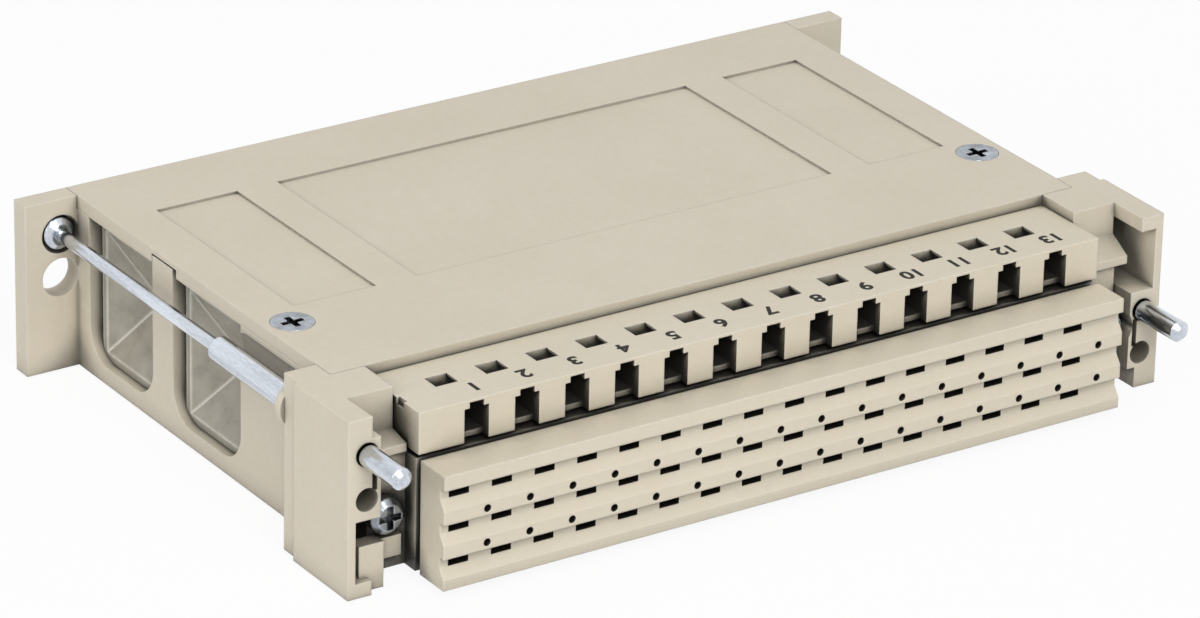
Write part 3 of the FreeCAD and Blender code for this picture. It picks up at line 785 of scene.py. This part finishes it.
@dataclass
class Studio:
    """Pale floor, even surroundings and soft lamps."""

    floor_size: float = 6.0
    floor_drop: float = 0.2 * MM
    floor_shade: float = 0.86
    floor_glow: float = 0.92
    surround: float = 0.38
    lamps: tuple[Lamp, ...] = (
        Lamp("key_lamp", azimuth=-20.0, elevation=42.0, distance=1.1, size=0.6, power=7.5),
        Lamp("left_lamp", azimuth=-80.0, elevation=25.0, distance=1.2, size=0.5, power=3.2),
        Lamp("rear_lamp", azimuth=150.0, elevation=60.0, distance=1.2, size=0.6, power=1.2),
    )

    def build(self) -> None:
        """Make the floor, the world and the lamps."""
        self._build_floor()
        self._build_world()
        for lamp in self.lamps:
            self._build_lamp(lamp)

    def _build_floor(self) -> None:
        """Pale floor that is white to the camera and keeps the object's soft shadow."""
        half = self.floor_size / 2
        mesh = bpy.data.meshes.new("floor")
        corners = [(-half, -half, 0), (half, -half, 0), (half, half, 0), (-half, half, 0)]
        mesh.from_pydata(corners, [], [(0, 1, 2, 3)])
        floor = bpy.data.objects.new("floor", mesh)
        floor.location.z = -self.floor_drop
        bpy.context.scene.collection.objects.link(floor)
        material = bpy.data.materials.new("pale_floor")
        material.use_nodes = True
        nodes, links = material.node_tree.nodes, material.node_tree.links
        nodes.clear()
        diffuse = nodes.new("ShaderNodeBsdfDiffuse")
        shade = self.floor_shade
        diffuse.inputs["Color"].default_value = (shade, shade, shade, 1.0)
        white = nodes.new("ShaderNodeEmission")
        white.inputs["Color"].default_value = WHITE
        seen = nodes.new("ShaderNodeMath")
        seen.operation = "MULTIPLY"
        links.new(self._seen_directly(material.node_tree), seen.inputs[0])
        seen.inputs[1].default_value = self.floor_glow
        mix = nodes.new("ShaderNodeMixShader")
        out = nodes.new("ShaderNodeOutputMaterial")
        links.new(seen.outputs[0], mix.inputs[0])
        links.new(diffuse.outputs[0], mix.inputs[1])
        links.new(white.outputs[0], mix.inputs[2])
        links.new(mix.outputs[0], out.inputs["Surface"])
        mesh.materials.append(material)

    def _build_world(self) -> None:
        """Even pale surroundings, white where the camera looks at them."""
        world = bpy.data.worlds.new("studio")
        bpy.context.scene.world = world
        world.use_nodes = True
        nodes, links = world.node_tree.nodes, world.node_tree.links
        nodes.clear()
        light = nodes.new("ShaderNodeBackground")
        light.inputs["Color"].default_value = WHITE
        light.inputs["Strength"].default_value = self.surround
        white = nodes.new("ShaderNodeBackground")
        white.inputs["Color"].default_value = WHITE
        white.inputs["Strength"].default_value = 1.0
        mix = nodes.new("ShaderNodeMixShader")
        out = nodes.new("ShaderNodeOutputWorld")
        links.new(self._seen_directly(world.node_tree), mix.inputs[0])
        links.new(light.outputs[0], mix.inputs[1])
        links.new(white.outputs[0], mix.inputs[2])
        links.new(mix.outputs[0], out.inputs["Surface"])

    @staticmethod
    def _seen_directly(tree: bpy.types.NodeTree) -> bpy.types.NodeSocket:
        """Share that is one for camera, mirror and transmission rays.

        Args:
            tree: Node tree of the floor or the world.

        Returns:
            Socket with the share.
        """
        path = tree.nodes.new("ShaderNodeLightPath")
        mirrored = tree.nodes.new("ShaderNodeMath")
        mirrored.operation = "MAXIMUM"
        tree.links.new(path.outputs["Is Camera Ray"], mirrored.inputs[0])
        tree.links.new(path.outputs["Is Glossy Ray"], mirrored.inputs[1])
        either = tree.nodes.new("ShaderNodeMath")
        either.operation = "MAXIMUM"
        tree.links.new(mirrored.outputs[0], either.inputs[0])
        tree.links.new(path.outputs["Is Transmission Ray"], either.inputs[1])
        return either.outputs[0]

    @staticmethod
    def _build_lamp(lamp: Lamp) -> None:
        """Hang one lamp and aim it at the middle of the housing.

        Args:
            lamp: Its direction, distance, size and power.
        """
        azimuth, elevation = math.radians(lamp.azimuth), math.radians(lamp.elevation)
        level = math.cos(elevation)
        away = Vector((math.sin(azimuth) * level, -math.cos(azimuth) * level, math.sin(elevation)))
        data = bpy.data.lights.new(lamp.name, "AREA")
        data.shape = "SQUARE"
        data.size = lamp.size
        data.energy = lamp.power
        made = bpy.data.objects.new(lamp.name, data)
        made.location = away * lamp.distance
        made.rotation_mode = "QUATERNION"
        made.rotation_quaternion = away.to_track_quat("Z", "Y")
        bpy.context.scene.collection.objects.link(made)


@dataclass
class PhotoCamera:
    """Camera that repeats the photograph's view, from a fit to the connector's slots."""

    place: tuple[float, float, float] = (-0.36742, -0.55280, 0.31050)
    right: tuple[float, float, float] = (0.83733, -0.54633, 0.02016)
    up: tuple[float, float, float] = (0.21153, 0.35778, 0.90954)
    sensor: float = 36.0
    focal_pixels: float = 6829.855
    image_width: float = 1200.0
    near: float = 0.05
    far: float = 50.0

    def build(self) -> None:
        """Create the camera and make it the scene's own."""
        data = bpy.data.cameras.new("photo_camera")
        data.sensor_fit = "HORIZONTAL"
        data.sensor_width = self.sensor
        data.lens = self.focal_pixels * self.sensor / self.image_width
        data.clip_start = self.near
        data.clip_end = self.far
        made = bpy.data.objects.new("photo_camera", data)
        right, up = Vector(self.right).normalized(), Vector(self.up).normalized()
        back = right.cross(up).normalized()
        turn = Matrix((right, up, back)).transposed()
        made.matrix_world = Matrix.Translation(self.place) @ turn.to_4x4()
        bpy.context.scene.collection.objects.link(made)
        bpy.context.scene.camera = made


def main() -> None:
    """Build the studio, then dress and complete each sub-assembly."""
    logging.basicConfig(level=logging.INFO, format="%(name)s: %(message)s")
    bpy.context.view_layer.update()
    bpy.context.scene.view_settings.view_transform = "Standard"
    palette = Palette()
    HousingShell().dress(palette)
    BlankingInserts().dress(palette)
    Connector().dress(palette)
    strip = CodingStrip()
    strip.dress(palette)
    strip.build(palette)
    Screws().dress(palette)
    Studio().build()
    PhotoCamera().build()


if __name__ == "__main__":
    main()
